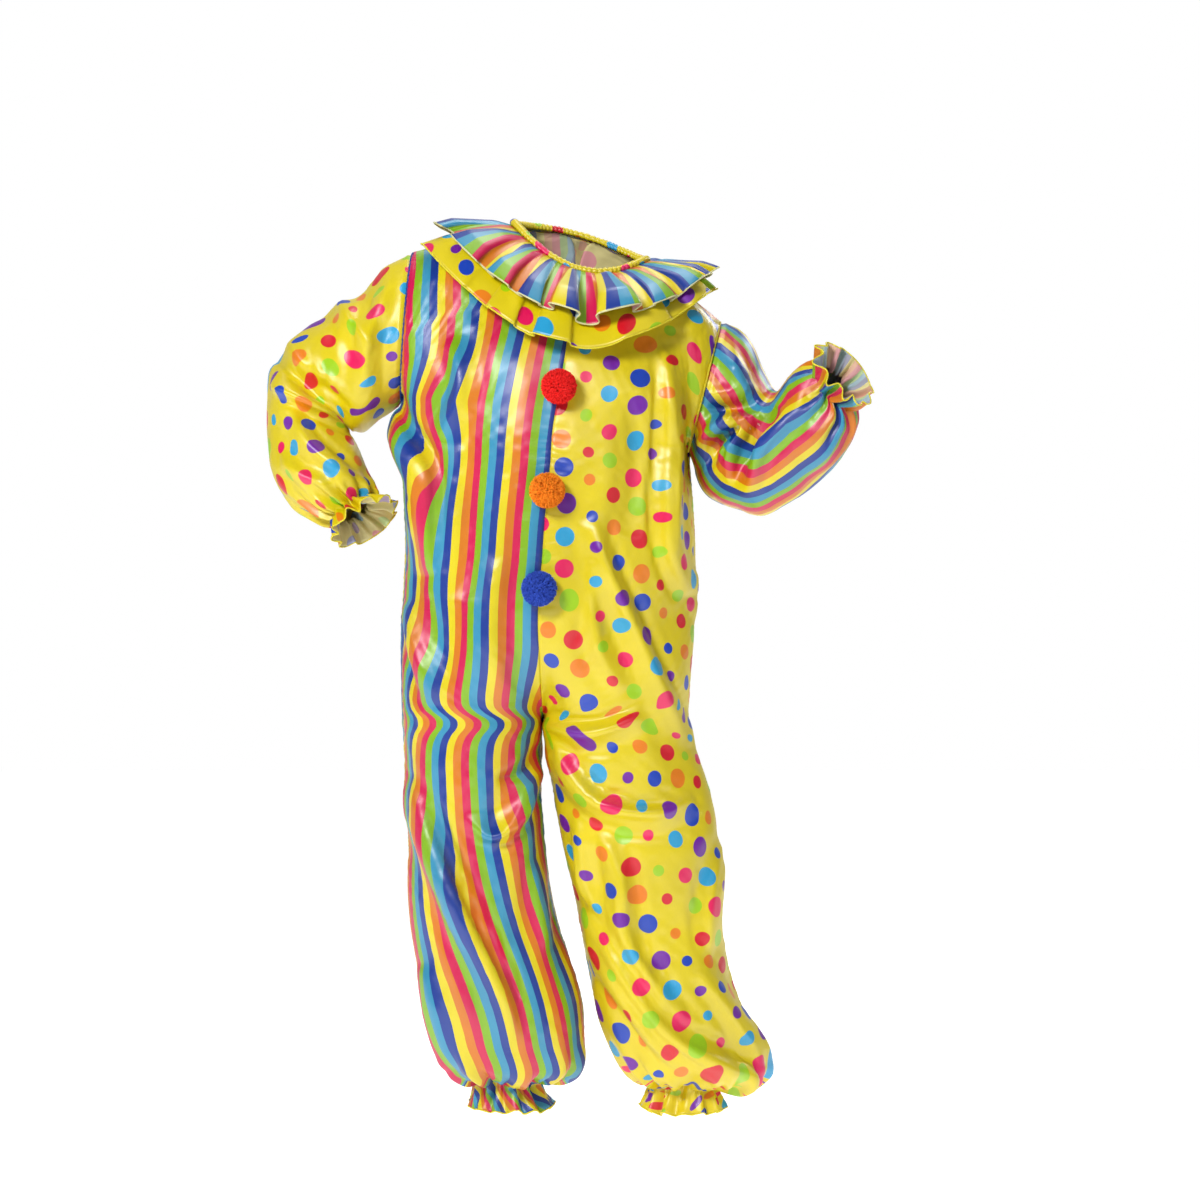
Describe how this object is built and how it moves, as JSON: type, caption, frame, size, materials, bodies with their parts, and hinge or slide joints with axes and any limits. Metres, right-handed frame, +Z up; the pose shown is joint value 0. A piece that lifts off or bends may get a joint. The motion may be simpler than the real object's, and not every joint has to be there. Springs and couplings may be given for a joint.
{
  "type": "clown jumpsuit",
  "caption": "Loose satin clown jumpsuit, half striped and half dotted, with a ruffled neck, pompoms down the front and frilled elastic cuffs and ankles.",
  "frame": {"origin": "the middle of the neck opening, where the wearer's neck and shoulders carry the suit", "axes": "+Z up along the standing wearer, -Y the way the wearer faces, +X towards the wearer's left"},
  "size_m": [0.9903, 0.4189, 1.469],
  "materials": {
    "satin_striped": "satin",
    "satin_dotted": "satin",
    "yarn_red": "fluffy",
    "yarn_orange": "fluffy",
    "yarn_blue": "fluffy"
  },
  "bodies": {
    "root": {"front_right": "satin_striped", "back_right": "satin_striped", "front_left": "satin_dotted", "back_left": "satin_dotted", "sleeve_right": "satin_dotted", "sleeve_left": "satin_striped", "ruffle_dotted": "satin_dotted", "ruffle_striped": "satin_striped", "neck_binding": "satin_dotted", "pompom_red": "yarn_red", "pompom_orange": "yarn_orange", "pompom_blue": "yarn_blue"}
  },
  "joints": []
}
